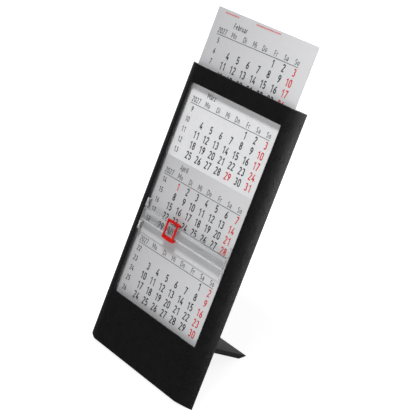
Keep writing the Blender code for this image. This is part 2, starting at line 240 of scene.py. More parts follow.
def ink(name, tones):
    """Printing ink that has sunk a little unevenly into the card."""
    material, tree, shader = new_material(name)
    uneven = noise(tree, 1800, 3)
    tree.links.new(two_tones(tree, uneven, *tones), shader.inputs["Base Color"])
    tree.links.new(spread(tree, uneven, 0.5, 0.65), shader.inputs["Roughness"])
    shader.inputs["Specular IOR Level"].default_value = 0.3
    return material


def drawn_steel(name):
    material, tree, shader = new_material(name)
    lines = noise(tree, 900, 3, (0.05, 1, 1))
    tree.links.new(two_tones(tree, lines, (0.48, 0.48, 0.49), (0.60, 0.60, 0.61)),
                   shader.inputs["Base Color"])
    tree.links.new(spread(tree, lines, 0.25, 0.40), shader.inputs["Roughness"])
    shader.inputs["Metallic"].default_value = 1.0
    add_bump(tree, shader, lines, 0.2, 0.00002)
    return material


# ---------------------------------------------------------------------- mesh building
def arc(centre_x, centre_y, radius_x, radius_y, start, end, steps=8):
    """Points along an elliptic arc, angles in degrees."""
    turns = [math.radians(start + (end - start) * k / steps) for k in range(steps + 1)]
    return [(centre_x + radius_x * math.cos(a), centre_y + radius_y * math.sin(a)) for a in turns]


def fillet(outline, radius, steps=4):
    """The closed outline with each corner rounded; radius is one number or one per corner."""
    radii = radius if isinstance(radius, (list, tuple)) else [radius] * len(outline)
    rounded = []
    for index, corner in enumerate(outline):
        corner = Vector(corner)
        before = (Vector(outline[index - 1]) - corner).normalized()
        after = (Vector(outline[(index + 1) % len(outline)]) - corner).normalized()
        opening = before.angle(after)
        if radii[index] <= 0 or opening > math.pi - 1e-3:
            rounded.append(tuple(corner))
            continue
        middle = (before + after).normalized()
        centre = corner + middle * radii[index] / math.sin(opening / 2)
        first = corner + before * radii[index] / math.tan(opening / 2) - centre
        sweep = before.angle_signed(after)
        sweep = math.copysign(math.pi - abs(sweep), sweep)
        for step in range(steps + 1):
            turn = Matrix.Rotation(sweep * step / steps, 2)
            rounded.append(tuple(centre + turn @ first))
    return rounded


def stack(loops):
    """A closed solid through equally long loops of 3-D points, capped at both ends."""
    shape = bmesh.new()
    rings = [[shape.verts.new(point) for point in loop] for loop in loops]
    count = len(rings[0])
    for lower, upper in zip(rings, rings[1:]):
        for k in range(count):
            shape.faces.new((lower[k], lower[(k + 1) % count], upper[(k + 1) % count], upper[k]))
    shape.faces.new(rings[0][::-1])
    shape.faces.new(rings[-1])
    bmesh.ops.recalc_face_normals(shape, faces=shape.faces)
    return shape


def prism(outline, low, high, axis, edge=0.0, segments=2):
    """An outline extruded along x, y or z. The outline's two numbers are the other two
    axes in order. edge rounds the rims of both ends."""
    def point(pair, level):
        values = list(pair)
        values.insert("xyz".index(axis), level)
        return values
    shape = stack([[point(pair, low) for pair in outline], [point(pair, high) for pair in outline]])
    if edge > 0:
        along = "xyz".index(axis)
        rims = [e for e in shape.edges
                if abs(e.verts[0].co[along] - e.verts[1].co[along]) < 1e-7]
        bmesh.ops.bevel(shape, geom=rims, offset=edge, segments=segments, affect="EDGES",
                        profile=0.5, clamp_overlap=True)
    return shape


def rounded_block(low, high, edge, segments=2):
    """A box with every edge rounded."""
    shape = bmesh.new()
    bmesh.ops.create_cube(shape, size=1.0)
    low, high = Vector(low), Vector(high)
    bmesh.ops.transform(shape, verts=shape.verts, matrix=Matrix.Translation((low + high) / 2)
                        @ Matrix.Diagonal((*(high - low), 1)))
    if edge > 0:
        bmesh.ops.bevel(shape, geom=shape.edges[:], offset=edge, segments=segments,
                        affect="EDGES", profile=0.5)
    return shape


def tube(path, radii, sides=20):
    """A round bar through the path's points, with its own radius at each."""
    loops = []
    for index, point in enumerate(path):
        here = Vector(point)
        before = Vector(path[max(index - 1, 0)])
        after = Vector(path[min(index + 1, len(path) - 1)])
        turn = (after - before).to_track_quat("Z", "Y").to_matrix()
        ring = [turn @ Vector((math.cos(a), math.sin(a), 0)) * radii[index] + here
                for a in (math.tau * k / sides for k in range(sides))]
        loops.append(ring)
    return stack(loops)


def round_ends(length, radius, steps=5):
    """Stations and radii of a bar from -length/2 to length/2 with domed ends."""
    dome = [math.radians(8 + 82 * k / steps) for k in range(steps + 1)]
    left = [(-length / 2 + radius * (1 - math.cos(a)), radius * math.sin(a)) for a in dome]
    right = [(-station, r) for station, r in reversed(left)]
    return left + right


def to_object(name, shape):
    mesh = bpy.data.meshes.new(name)
    shape.to_mesh(mesh)
    shape.free()
    thing = bpy.data.objects.new(name, mesh)
    bpy.context.scene.collection.objects.link(thing)
    return thing


def joined(name, base, union=(), cut=()):
    """One closed mesh: base, with the union shapes added and the cut shapes taken away."""
    body = to_object(name, base)
    tools = []
    for operation, shapes in (("UNION", union), ("DIFFERENCE", cut)):
        for shape in shapes:
            tool = to_object("tool", shape)
            step = body.modifiers.new(operation, "BOOLEAN")
            step.operation = operation
            step.solver = "EXACT"
            step.object = tool
            tools.append(tool)
    graph = bpy.context.evaluated_depsgraph_get()
    mesh = bpy.data.meshes.new_from_object(body.evaluated_get(graph))
    body.modifiers.clear()
    body.data = mesh
    for tool in tools:
        bpy.data.objects.remove(tool, do_unlink=True)
    return body


def finished(thing, materials, body, stands_for=(), sharp=35):
    """Lean the piece back, shade it, give it its materials and put it on its body."""
    thing.data.transform(LEANED)
    for material in materials:
        thing.data.materials.append(material)
    thing.data.shade_smooth()
    thing.data.set_sharp_from_angle(angle=math.radians(sharp))
    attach(thing, body)
    if stands_for:
        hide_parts(*stands_for)
    return thing


# -------------------------------------------------------------------- the front shell
def flank(inset):
    """The right half of the shell's section, from the flat to the rear edge."""
    corner_x = FLAT_HALF + FLANK_RADIUS * math.sin(FLANK_TURN)
    corner_y = FLANK_RADIUS * (1 - math.cos(FLANK_TURN))
    sweep = (FRAME_HALF - corner_x) / (math.sin(FLANK_END) - math.sin(FLANK_TURN))
    points = []
    steps = 10
    for step in range(steps + 1):
        slope = FLANK_TURN * step / steps
        points.append((FLAT_HALF + FLANK_RADIUS * math.sin(slope),
                       FLANK_RADIUS * (1 - math.cos(slope)), slope))
    for step in range(1, steps + 1):
        slope = FLANK_TURN + (FLANK_END - FLANK_TURN) * step / steps
        points.append((corner_x + sweep * (math.sin(slope) - math.sin(FLANK_TURN)),
                       corner_y + sweep * (math.cos(FLANK_TURN) - math.cos(slope)), slope))
    return [(x - inset * math.sin(slope), y + inset * math.cos(slope)) for x, y, slope in points]


def shell_section(inset, back=0.0):
    right = [(x, min(y, FRAME_DEPTH)) for x, y in flank(inset)]
    left = [(-x, y) for x, y in reversed(right)]
    if back:
        left.insert(0, (left[0][0], back))
        right.append((right[-1][0], back))
    return left + right


def rounded_stations(low, high, radius, steps=3):
    """Levels and insets that round both ends of a run."""
    ends = [(radius * (1 - math.cos(a)), radius * (1 - math.sin(a)))
            for a in (math.pi / 2 * k / steps for k in range(steps + 1))]
    return ([(low + up, inset) for up, inset in ends]
            + [(high - up, inset) for up, inset in reversed(ends)])


def window_loop(grow, y):
    half, bottom, top = WINDOW_HALF + grow, WINDOW_BOTTOM - grow, WINDOW_TOP + grow
    corners = [(-half, bottom), (half, bottom), (half, top), (-half, top)]
    return [(x, y, z) for x, z in fillet(corners, WINDOW_CORNER + grow, 5)]


def make_front_shell(material):
    """The shell: rounded ends, hollow back, slot for the cards and window with a soft lip."""
    outer = stack([[(x, y, z) for x, y in shell_section(inset)]
                   for z, inset in rounded_stations(0, FRAME_HEIGHT, EDGE_ROUND)])
    hollow = stack([[(x, y, z) for x, y in shell_section(WALL, OPEN_BACK)]
                    for z in (END_WALL, FRAME_HEIGHT - END_WALL)])
    card_low, card_high = frame_box("month_card_1")
    slot_half = card_high.x + SLOT_SIDE
    slot = rounded_block((-slot_half, card_low.y - SLOT_FRONT, FRAME_HEIGHT - 2 * END_WALL),
                         (slot_half, OPEN_BACK, FRAME_HEIGHT + END_WALL), 0)
    lip = [(WINDOW_LIP * (1 - math.sin(a)), WINDOW_LIP * (1 - math.cos(a)))
           for a in (math.pi / 2 * k / 4 for k in range(5))]
    window = stack([window_loop(WINDOW_LIP, WINDOW_CUT[0])]
                   + [window_loop(grow, y) for grow, y in lip]
                   + [window_loop(0, WINDOW_CUT[1])])
    shell = joined("front_shell", outer, cut=(hollow, slot, window))
    return finished(shell, [material], "base", ["front_frame"])


# ------------------------------------------------------- the rear cover and the hinge
COVER_FRONT, COVER_BACK = 6.75 * MM, 7.95 * MM
COVER_EDGE, COVER_CORNER = 0.35 * MM, 1.2 * MM
NOTCH_RADIUS = 14 * MM
NOTCH_MOUTH = 1.0 * MM           # the notch flares by this much at its mouth
LEDGE_HALF, LEDGE_FRONT, LEDGE_HEIGHT = 50 * MM, 1.8 * MM, 1.5 * MM
LEDGE_GAP = 0.3 * MM             # from the ledge to the cards' lower edges
RAIL_GAP, RAIL_WIDTH, RAIL_FRONT = 0.4 * MM, 1.0 * MM, 3.7 * MM
RAIL_END = 1.2 * MM              # the rails stop this far below the cover's top
RAIL_EDGE = 0.15 * MM
hinge_joint = next(j for j in frame["joints"] if j["name"] == "leg_fold")
HINGE = UPRIGHT @ Vector(hinge_joint["pos_m"]) - ORIGIN
EAR_WIDTH, EAR_GAP, EAR_EDGE = 3 * MM, 0.6 * MM, 0.3 * MM
EAR_ROOT, KNUCKLE = 4.0 * MM, 2.6 * MM        # half heights at the cover and at the pin
STOP_HALF, STOP_OUT, STOP_ROUND = 12 * MM, 1.2 * MM, 0.5 * MM
STOP_LOW, STOP_HIGH = 8.5 * MM, 3.1 * MM      # below the hinge
COVER_BORE, LEG_BORE = 1.15 * MM, 1.35 * MM


def beside(side, inner, outer):
    """Lowest and highest x of a run from inner to outer on one side."""
    return sorted((side * inner, side * outer))


def hinge_bore(half, radius):
    """A round cutter along the hinge's axis."""
    return tube([(-half, HINGE.y, HINGE.z), (half, HINGE.y, HINGE.z)], [radius] * 2, 32)


def make_rear_cover(material):
    """Back panel with card rails, card ledge, hinge ears, leg stop and finger notch."""
    low, high = frame_box("rear_cover")
    leg_half = frame_box("stand_leg")[1].x
    card_low, card_high = frame_box("month_card_2")
    corners = fillet([(low.x, low.z), (high.x, low.z), (high.x, high.z), (low.x, high.z)],
                     COVER_CORNER)
    right = [corner for corner in corners if corner[0] > 0]
    left = [corner for corner in corners if corner[0] < 0]
    mouth = NOTCH_RADIUS + NOTCH_MOUTH
    notch = ([(mouth, high.z)] + arc(0, high.z, NOTCH_RADIUS, NOTCH_RADIUS, 0, -180, 24)[2:-2]
             + [(-mouth, high.z)])
    outline = ([corner for corner in left if corner[1] < high.z / 2] + right + notch
               + [corner for corner in left if corner[1] > high.z / 2])
    plate = prism(outline, COVER_FRONT, COVER_BACK, "y", COVER_EDGE)
    root = (COVER_FRONT + COVER_BACK) / 2
    ledge_top = card_low.z - LEDGE_GAP
    ledge_bottom = ledge_top - LEDGE_HEIGHT
    union = [rounded_block((-LEDGE_HALF, LEDGE_FRONT, ledge_bottom),
                           (LEDGE_HALF, root, ledge_top), RAIL_EDGE)]
    cheek = [(root, HINGE.z - EAR_ROOT), (HINGE.y, HINGE.z - KNUCKLE)]
    cheek += arc(HINGE.y, HINGE.z, KNUCKLE, KNUCKLE, -90, 90, 10)
    cheek += [(root, HINGE.z + EAR_ROOT)]
    for side in (-1, 1):
        rail = beside(side, card_high.x + RAIL_GAP, card_high.x + RAIL_GAP + RAIL_WIDTH)
        union.append(rounded_block((rail[0], RAIL_FRONT, ledge_bottom),
                                   (rail[1], root, high.z - RAIL_END), RAIL_EDGE))
        ear = beside(side, leg_half + EAR_GAP, leg_half + EAR_GAP + EAR_WIDTH)
        union.append(prism(cheek, ear[0], ear[1], "x", EAR_EDGE))
    stop = [(root, HINGE.z - STOP_LOW), (HINGE.y + STOP_OUT, HINGE.z - STOP_LOW),
            (HINGE.y + STOP_OUT, HINGE.z - STOP_HIGH), (root, HINGE.z - STOP_HIGH)]
    union.append(prism(fillet(stop, [0, STOP_ROUND, STOP_ROUND, 0]), -STOP_HALF, STOP_HALF, "x",
                       EAR_EDGE))
    cover = joined("back_panel", plate, union=union, cut=[hinge_bore(45 * MM, COVER_BORE)])
    return finished(cover, [material], "base", ["rear_cover"])


# ---------------------------------------------------------------- the leg and its pin
LEG_SLOPE = math.radians(30)
LEG_THICKNESS = 3.65 * MM
LEG_SKIN, LEG_RIB, LEG_BAYS = 1.4 * MM, 1.6 * MM, 3
LEG_BARREL, LEG_EDGE = 2.2 * MM, 0.45 * MM
TOE_ROUNDS = [0, 0.35 * MM, 0.25 * MM, 0]
POCKET_START, POCKET_STOP = 6 * MM, 9.5 * MM  # from the hinge, and from the leg's end
POCKET_ROUND = 0.8 * MM
LEG_DIRECTION = UPRIGHT @ Vector((0, math.cos(LEG_SLOPE), -math.sin(LEG_SLOPE)))
LEG_NORMAL = UPRIGHT @ Vector((0, math.sin(LEG_SLOPE), math.cos(LEG_SLOPE)))


def on_leg(along, up):
    """(y, z) in the frame's axes of a point along the leg and above its middle plane."""
    point = HINGE + LEG_DIRECTION * along + LEG_NORMAL * up
    return point.y, point.z


def make_leg(material):
    """A flat leg round the hinge pin, with a level foot and three pockets underneath."""
    low, high = frame_box("stand_leg")
    half = LEG_THICKNESS / 2
    length = Vector(hinge_joint["pos_m"]).z / math.sin(LEG_SLOPE)
    run = half / math.tan(LEG_SLOPE)
    turn = math.degrees(math.asin(half / LEG_BARREL))
    outline = arc(0, 0, LEG_BARREL, LEG_BARREL, turn, 360 - turn, 20)
    outline += fillet([(length * 0.5, -half), (length - run, -half), (length + run, half),
                       (length * 0.5, half)], TOE_ROUNDS)
    plate = prism([on_leg(*point) for point in outline], low.x, high.x, "x", LEG_EDGE, 3)
    cut = [hinge_bore(high.x + MM, LEG_BORE)]
    pocket = [(POCKET_START, -LEG_THICKNESS), (length - POCKET_STOP, -LEG_THICKNESS),
              (length - POCKET_STOP, half - LEG_SKIN), (POCKET_START, half - LEG_SKIN)]
    pocket = [on_leg(*point) for point in fillet(pocket, [0, 0, POCKET_ROUND, POCKET_ROUND])]
    bay = (2 * high.x - (LEG_BAYS + 1) * LEG_RIB) / LEG_BAYS
    for number in range(LEG_BAYS):
        left = low.x + LEG_RIB + number * (bay + LEG_RIB)
        cut.append(prism(pocket, left, left + bay, "x"))
    leg = joined("support_leg", plate, cut=cut)
    return finished(leg, [material], "leg", ["stand_leg"])


def make_pin(material):
    """The hinge pin, with ends domed to 0.45 of its radius."""
    low, high = frame_box("hinge_pin")
    radius = (high.z - low.z) / 2
    dome = 0.45 * radius
    stations = round_ends(high.x - low.x, dome)
    path = [(station, HINGE.y, HINGE.z) for station, _ in stations]
    pin = to_object("pin_turned", tube(path, [r * radius / dome for _, r in stations], 32))
    return finished(pin, [material], "base", ["hinge_pin"])


# ------------------------------------------------------------- the slider and marker
BAR_MIDDLE = sum(corner.z for corner in frame_box("slider_bar")) / 2
BAR_FRONT = frame_box("slider_bar")[0].y
BAR_BACK = 0.3 * MM
BAR_HALF_LENGTH = 50.2 * MM
BAR_HALF_HEIGHT = 5.0 * MM
BAR_PLATEAU = 3.9 * MM           # the flat front face ends here, chamfers follow
BAR_PLATEAU_LOW = 3.3 * MM       # the lower chamfer is taller
BAR_RIM_HEIGHT = 4.8 * MM
BAR_RIM = -0.35 * MM             # depth where the chamfers end
FOOT_INNER, FOOT_OUTER = 49.4 * MM, 51.4 * MM
FOOT_LOW, FOOT_HIGH = 5.6 * MM, 12.1 * MM
FOOT_DEPTHS = (-0.35 * MM, 2.95 * MM)
SPINE_DEPTHS = (-0.3 * MM, 0.5 * MM)          # of the upright that joins an end's two feet
SPINE_SHORT = 0.6 * MM
TOE_DEPTHS = (2.36 * MM, 2.85 * MM)           # of the toes, which hook behind the shell
TOE_INNER, TOE_SHORT = 49.9 * MM, 0.2 * MM


def is_frosted(face):
    """Whether a face of the slider is one of its edges that glow in the light."""
    middle, normal = face.center, face.normal
    up = middle.z - BAR_MIDDLE
    if abs(middle.x) > FOOT_INNER - 0.1 * MM:
        on_foot = abs(up) > FOOT_LOW - 0.2 * MM and abs(normal.x) < 0.5
        return on_foot or max(map(abs, normal)) < 0.97
    return (up < -BAR_PLATEAU_LOW and normal.z < -0.2) or (up > BAR_RIM_HEIGHT and normal.z > 0.5)


def make_slider(materials):
    """The clear bar with its chamfered front edges and its four hooked feet."""
    high = frame_box("slider_bar")[1]
    profile = [(BAR_BACK, -BAR_HALF_HEIGHT), (BAR_RIM, -BAR_HALF_HEIGHT),
               (BAR_FRONT, -BAR_PLATEAU_LOW), (BAR_FRONT, BAR_PLATEAU),
               (BAR_RIM, BAR_HALF_HEIGHT), (BAR_BACK, BAR_HALF_HEIGHT)]
    profile = [(y, z + BAR_MIDDLE) for y, z in fillet(profile, 0.22 * MM, 3)]
    bar = prism(profile, -BAR_HALF_LENGTH, BAR_HALF_LENGTH, "x", 0.2 * MM)
    union = []
    for side in (-1, 1):
        inner, outer = beside(side, FOOT_INNER, FOOT_OUTER)
        toe = beside(side, TOE_INNER, high.x)
        spine = FOOT_HIGH - SPINE_SHORT
        union.append(rounded_block((inner, SPINE_DEPTHS[0], BAR_MIDDLE - spine),
                                   (outer, SPINE_DEPTHS[1], BAR_MIDDLE + spine), 0.3 * MM, 3))
        for way in (-1, 1):
            bottom, top = sorted((BAR_MIDDLE + way * FOOT_LOW, BAR_MIDDLE + way * FOOT_HIGH))
            union.append(rounded_block((inner, FOOT_DEPTHS[0], bottom),
                                       (outer, FOOT_DEPTHS[1], top), 0.25 * MM, 3))
            union.append(rounded_block((toe[0], TOE_DEPTHS[0], bottom + TOE_SHORT),
                                       (toe[1], TOE_DEPTHS[1], top - TOE_SHORT), 0.12 * MM))
    slider = joined("clear_slider", bar, union=union)
    for face in slider.data.polygons:
        face.material_index = 1 if is_frosted(face) else 0
    return finished(slider, materials, "slider", ["slider_bar"])


GRIP_RADIUS = 1.0 * MM
GRIP_BOW = 0.6 * MM              # the lower grip bows downwards by this much
GRIP_STEPS = 8
STRIP_WIDTH, STRIP_INSET = 1.9 * MM, 0.9 * MM
STRIP_OVER = 0.2 * MM            # the strips run this far past the grips' middles
CLIP_GAP = 0.3 * MM
LIP_THICKNESS, LIP_OVER, LIP_INSET = 0.8 * MM, 0.4 * MM, 0.2 * MM
LIP_GRIP = 0.9 * MM              # how far a lip reaches behind the bar


def make_marker(material):
    """Red clip: domed grips above and below the bar, two strips across its front, and
    lips that hook behind it."""
    low, high = frame_box("date_marker")
    middle, half = (low.x + high.x) / 2, (high.x - low.x) / 2
    clear_of_bar = BAR_HALF_HEIGHT + CLIP_GAP
    reach = clear_of_bar + GRIP_RADIUS
    domes = round_ends(2 * half, GRIP_RADIUS)
    count = len(domes) // 2
    start, end = domes[count - 1][0], domes[count][0]
    stations = domes[:count] + [(start + (end - start) * step / GRIP_STEPS, GRIP_RADIUS)
                                for step in range(1, GRIP_STEPS)] + domes[count:]
    shapes = []
    for way, bow in ((1, 0.0), (-1, GRIP_BOW)):
        path = [(middle + station, BAR_FRONT,
                 BAR_MIDDLE + way * (reach + bow * (1 - (station / half) ** 2)))
                for station, _ in stations]
        shapes.append(tube(path, [radius for _, radius in stations]))
    strip_end = reach + STRIP_OVER
    for left in (low.x + STRIP_INSET, high.x - STRIP_INSET - STRIP_WIDTH):
        right = left + STRIP_WIDTH
        shapes.append(rounded_block((left, low.y, BAR_MIDDLE - strip_end),
                                    (right, BAR_FRONT - CLIP_GAP, BAR_MIDDLE + strip_end),
                                    0.25 * MM, 3))
    lip_front = BAR_BACK + CLIP_GAP
    lip_back = lip_front + LIP_THICKNESS
    lip_inset = STRIP_INSET + LIP_INSET
    for way in (-1, 1):
        inner, outer, tip = (BAR_MIDDLE + way * up for up in (
            clear_of_bar, reach + LIP_OVER, BAR_HALF_HEIGHT - LIP_GRIP))
        hook = [(BAR_FRONT, inner), (lip_front, inner), (lip_front, tip), (lip_back, tip),
                (lip_back, outer), (BAR_FRONT, outer)]
        shapes.append(prism(hook, low.x + lip_inset, high.x - lip_inset, "x", 0.12 * MM))
    marker = joined("marker_clip", shapes[0], union=shapes[1:])
    return finished(marker, [material], "marker", ["date_marker"])


# -------------------------------------------------------------------------- the cards
CARD_NAMES = sorted(node for node in frame["nodes"] if node.startswith("month_card_"))
PRINT_SKEW = math.tan(math.radians(0.5))   # the print is cut slightly askew
TINT_ABOVE_LINE = 14.0 * MM      # a block's tint starts this far above its underline


def make_card(number, materials):
    """A card whose middle month stands on a lighter panel than the other two."""
    low, high = frame_box(f"month_card_{number}")
    corners = fillet([(low.x, low.z), (high.x, low.z), (high.x, high.z), (low.x, high.z)], 0.5 * MM)
    sheet = prism(corners, low.y, high.y, "y")
    borders = [high.z - line + TINT_ABOVE_LINE for line in LINES[1:]]
    for border in borders:
        bmesh.ops.bisect_plane(sheet, geom=sheet.verts[:] + sheet.edges[:] + sheet.faces[:],
                               plane_co=(0, 0, border), plane_no=(-PRINT_SKEW, 0, 1), dist=1e-7)
    for face in sheet.faces:
        middle = face.calc_center_median()
        height = middle.z - PRINT_SKEW * middle.x
        face.material_index = 0 if borders[1] < height < borders[0] else 1
    card = to_object(f"card_sheet_{number}", sheet)
    return finished(card, materials, f"card_{number}", [f"month_card_{number}"])


# -------------------------------------------------------------------------- lettering
def ring(centre_x, centre_y, radius_x, radius_y):
    return arc(centre_x, centre_y, radius_x, radius_y, 0, 360, 14)


def dot(x, y):
    return [(x, y - 0.06), (x, y + 0.06)]


BOWL = ring(0.225, 0.36, 0.16, 0.295)
SIX = [ring(0.23, 0.285, 0.165, 0.22), [(0.345, 0.95), (0.20, 0.72), (0.10, 0.50), (0.065, 0.30)]]
LOWER_A = [arc(0.20, 0.50, 0.13, 0.155, 155, 0, 6) + [(0.33, 0.0)],
           [(0.33, 0.38)] + arc(0.19, 0.215, 0.125, 0.15, 90, 270, 6) + [(0.33, 0.10)]]

# Each letter: its width, then its strokes as centre lines on a cap height of 1.
LETTERS = {
    "0": (0.46, [arc(0.23, 0.735, 0.165, 0.20, 180, 0) + arc(0.23, 0.265, 0.165, 0.20, 0, -180)
                 + [(0.065, 0.735)]]),
    "1": (0.46, [[(0.10, 0.75), (0.31, 0.935), (0.31, 0.0)]]),
    "2": (0.46, [arc(0.23, 0.735, 0.16, 0.20, 165, -25) + [(0.07, 0.065), (0.42, 0.065)]]),
    "3": (0.46, [arc(0.21, 0.72, 0.15, 0.215, 150, -90), arc(0.205, 0.285, 0.17, 0.22, 90, -150)]),
    "4": (0.46, [[(0.30, 0.97), (0.06, 0.27), (0.44, 0.27)], [(0.32, 0.48), (0.32, 0.0)]]),
    "5": (0.46, [[(0.39, 0.935), (0.11, 0.935), (0.085, 0.50)]
                 + arc(0.215, 0.33, 0.17, 0.265, 130, -145)]),
    "6": (0.46, SIX),
    "7": (0.46, [[(0.05, 0.935), (0.40, 0.935), (0.16, 0.0)]]),
    "8": (0.46, [ring(0.23, 0.725, 0.145, 0.21), ring(0.23, 0.275, 0.17, 0.21)]),
    "9": (0.46, [[(0.46 - x, 1 - y) for x, y in stroke] for stroke in SIX]),
    "A": (0.48, [[(0.03, 0.0), (0.24, 0.97), (0.45, 0.0)], [(0.11, 0.28), (0.37, 0.28)]]),
    "D": (0.55, [[(0.07, 0.065), (0.07, 0.935)] + arc(0.23, 0.60, 0.25, 0.335, 90, 0, 5)
                 + arc(0.23, 0.40, 0.25, 0.335, 0, -90, 5) + [(0.07, 0.065)]]),
    "F": (0.40, [[(0.07, 0.0), (0.07, 0.935), (0.38, 0.935)], [(0.07, 0.50), (0.34, 0.50)]]),
    "J": (0.38, [[(0.31, 1.0), (0.31, 0.25)] + arc(0.18, 0.25, 0.13, 0.185, 0, -150, 6)]),
    "M": (0.68, [[(0.07, 0.0), (0.07, 1.0)], [(0.09, 0.96), (0.34, 0.30), (0.59, 0.96)],
                 [(0.61, 1.0), (0.61, 0.0)]]),
    "N": (0.47, [[(0.07, 0.0), (0.07, 1.0)], [(0.08, 0.97), (0.39, 0.03)],
                 [(0.40, 0.0), (0.40, 1.0)]]),
    "O": (0.50, [arc(0.25, 0.70, 0.185, 0.235, 180, 0) + arc(0.25, 0.30, 0.185, 0.235, 0, -180)
                 + [(0.065, 0.70)]]),
    "S": (0.46, [arc(0.23, 0.72, 0.155, 0.215, 30, 270), arc(0.22, 0.285, 0.17, 0.22, 90, -150)]),
    "a": (0.40, LOWER_A),
    "\u00e4": (0.40, LOWER_A + [dot(0.11, 0.90), dot(0.29, 0.90)]),
    "b": (0.42, [[(0.07, 0.0), (0.07, 1.0)], BOWL]),
    "e": (0.42, [[(0.07, 0.36), (0.35, 0.36)], arc(0.21, 0.36, 0.145, 0.295, 0, 310, 12)]),
    "g": (0.45, [BOWL, [(0.38, 0.70), (0.38, -0.08)] + arc(0.24, -0.08, 0.14, 0.14, 0, -140, 6)]),
    "i": (0.14, [[(0.07, 0.0), (0.07, 0.70)], dot(0.07, 0.92)]),
    "k": (0.38, [[(0.07, 0.0), (0.07, 1.0)], [(0.34, 0.70), (0.09, 0.33)],
                 [(0.17, 0.44), (0.36, 0.0)]]),
    "l": (0.14, [[(0.07, 0.0), (0.07, 1.0)]]),
    "m": (0.60, [[(0.07, 0.0), (0.07, 0.70)],
                 arc(0.185, 0.47, 0.115, 0.185, 180, 0, 6) + [(0.30, 0.0)],
                 arc(0.415, 0.47, 0.115, 0.185, 180, 0, 6) + [(0.53, 0.0)]]),
    "n": (0.41, [[(0.07, 0.0), (0.07, 0.70)],
                 arc(0.205, 0.46, 0.135, 0.195, 180, 0, 6) + [(0.34, 0.0)]]),
    "o": (0.45, [BOWL]),
    "p": (0.42, [[(0.07, -0.28), (0.07, 0.70)], BOWL]),
    "r": (0.30, [[(0.07, 0.0), (0.07, 0.70)], arc(0.23, 0.44, 0.16, 0.215, 170, 65, 5)]),
    "s": (0.38, [arc(0.19, 0.51, 0.12, 0.145, 40, 270, 7),
                 arc(0.19, 0.215, 0.135, 0.15, 90, -150, 7)]),
    "t": (0.32, [[(0.13, 0.90), (0.13, 0.19)] + arc(0.25, 0.19, 0.12, 0.125, 180, 280, 4),
                 [(0.02, 0.655), (0.29, 0.655)]]),
    "u": (0.41, [[(0.07, 0.70)] + arc(0.205, 0.26, 0.135, 0.195, 180, 360, 6),
                 [(0.34, 0.70), (0.34, 0.0)]]),
    "v": (0.38, [[(0.04, 0.70), (0.19, 0.03), (0.34, 0.70)]]),
    "z": (0.40, [[(0.05, 0.655), (0.35, 0.655), (0.05, 0.065), (0.37, 0.065)]]),
}
LETTER_GAP = 0.11
STRETCH = 1.14                   # the lettering is a little wider than its drawing
INK_RAISED = 0.02 * MM
INK_SUNK = 0.005 * MM


def ribbon_sides(points, width):
    """Left and right edge points of a stroke of that width."""
    closed = (Vector(points[0]) - Vector(points[-1])).length < 1e-9
    line = [Vector(point) for point in (points[:-1] if closed else points)]
    count = len(line)
    left, right = [], []
    for index, here in enumerate(line):
        before = line[index - 1] if closed or index > 0 else None
        after = line[(index + 1) % count] if closed or index < count - 1 else None
        came = (here - before).normalized() if before else (after - here).normalized()
        goes = (after - here).normalized() if after else came
        across = (came + goes).orthogonal().normalized()
        lean = max(across.dot(goes.orthogonal()), 0.6)
        offset = across * width / 2 / lean
        left.append(here + offset)
        right.append(here - offset)
    if closed:
        left.append(left[0])
        right.append(right[0])
    return left, right, closed


class Page:
    """One printed side of a card: collects strokes as thin closed strips of ink."""

    def __init__(self, surface_y, outward, reading):
        self.shape = bmesh.new()
        self.surface_y, self.outward, self.reading = surface_y, outward, reading
        self.lift = 0

    def place(self, point, level):
        x, z = point.x, point.y + point.x * PRINT_SKEW
        return (x * self.reading, self.surface_y + self.outward * level, z)

    def stroke(self, points, width, ink_number):
        left, right, closed = ribbon_sides(points, width)
        self.lift = (self.lift + 1) % 5
        top = INK_RAISED + self.lift * 0.1 * INK_RAISED
        rails = []
        for side, level in ((left, top), (right, top), (right, -INK_SUNK), (left, -INK_SUNK)):
            verts = [self.shape.verts.new(self.place(point, level))
                     for point in (side[:-1] if closed else side)]
            rails.append(verts + verts[:1] if closed else verts)
        faces = []
        for k in range(4):
            one, other = rails[k], rails[(k + 1) % 4]
            for j in range(len(one) - 1):
                faces.append(self.shape.faces.new((one[j], one[j + 1], other[j + 1], other[j])))
        if not closed:
            faces.append(self.shape.faces.new([rail[0] for rail in rails]))
            faces.append(self.shape.faces.new([rail[-1] for rail in reversed(rails)]))
        for face in faces:
            face.material_index = ink_number

    def text(self, words, x, z, height, weight, ink_number, align="left"):
        """Write words with their lower left, or lower right, corner at x and z."""
        sizes = [(LETTERS[letter][0] + LETTER_GAP) * STRETCH for letter in words]
        length = (sum(sizes) - LETTER_GAP * STRETCH) * height
        pen = x - length if align == "right" else x
        for letter, size in zip(words, sizes):
            for line in LETTERS[letter][1]:
                self.stroke([(pen + px * height * STRETCH, z + pz * height) for px, pz in line],
                            weight * height, ink_number)
            pen += size * height

    def object(self, name):
        bmesh.ops.recalc_face_normals(self.shape, faces=self.shape.faces)
        return to_object(name, self.shape)


BLACK_INK, GREY_INK, RED_INK = 0, 1, 2
MONTHS = ["Januar", "Februar", "M\u00e4rz", "April", "Mai", "Juni", "Juli", "August", "September",
          "Oktober", "November", "Dezember"]
WEEKDAYS = ["Mo", "Di", "Mi", "Do", "Fr", "Sa", "So"]
PRINTED_YEAR = "2027"
PATTERN_YEAR = 2013              # a year with the weekdays that the cards carry
HOLIDAYS = {(1, 1), (3, 29), (4, 1), (5, 1), (5, 9), (5, 20), (10, 3), (12, 25), (12, 26)}

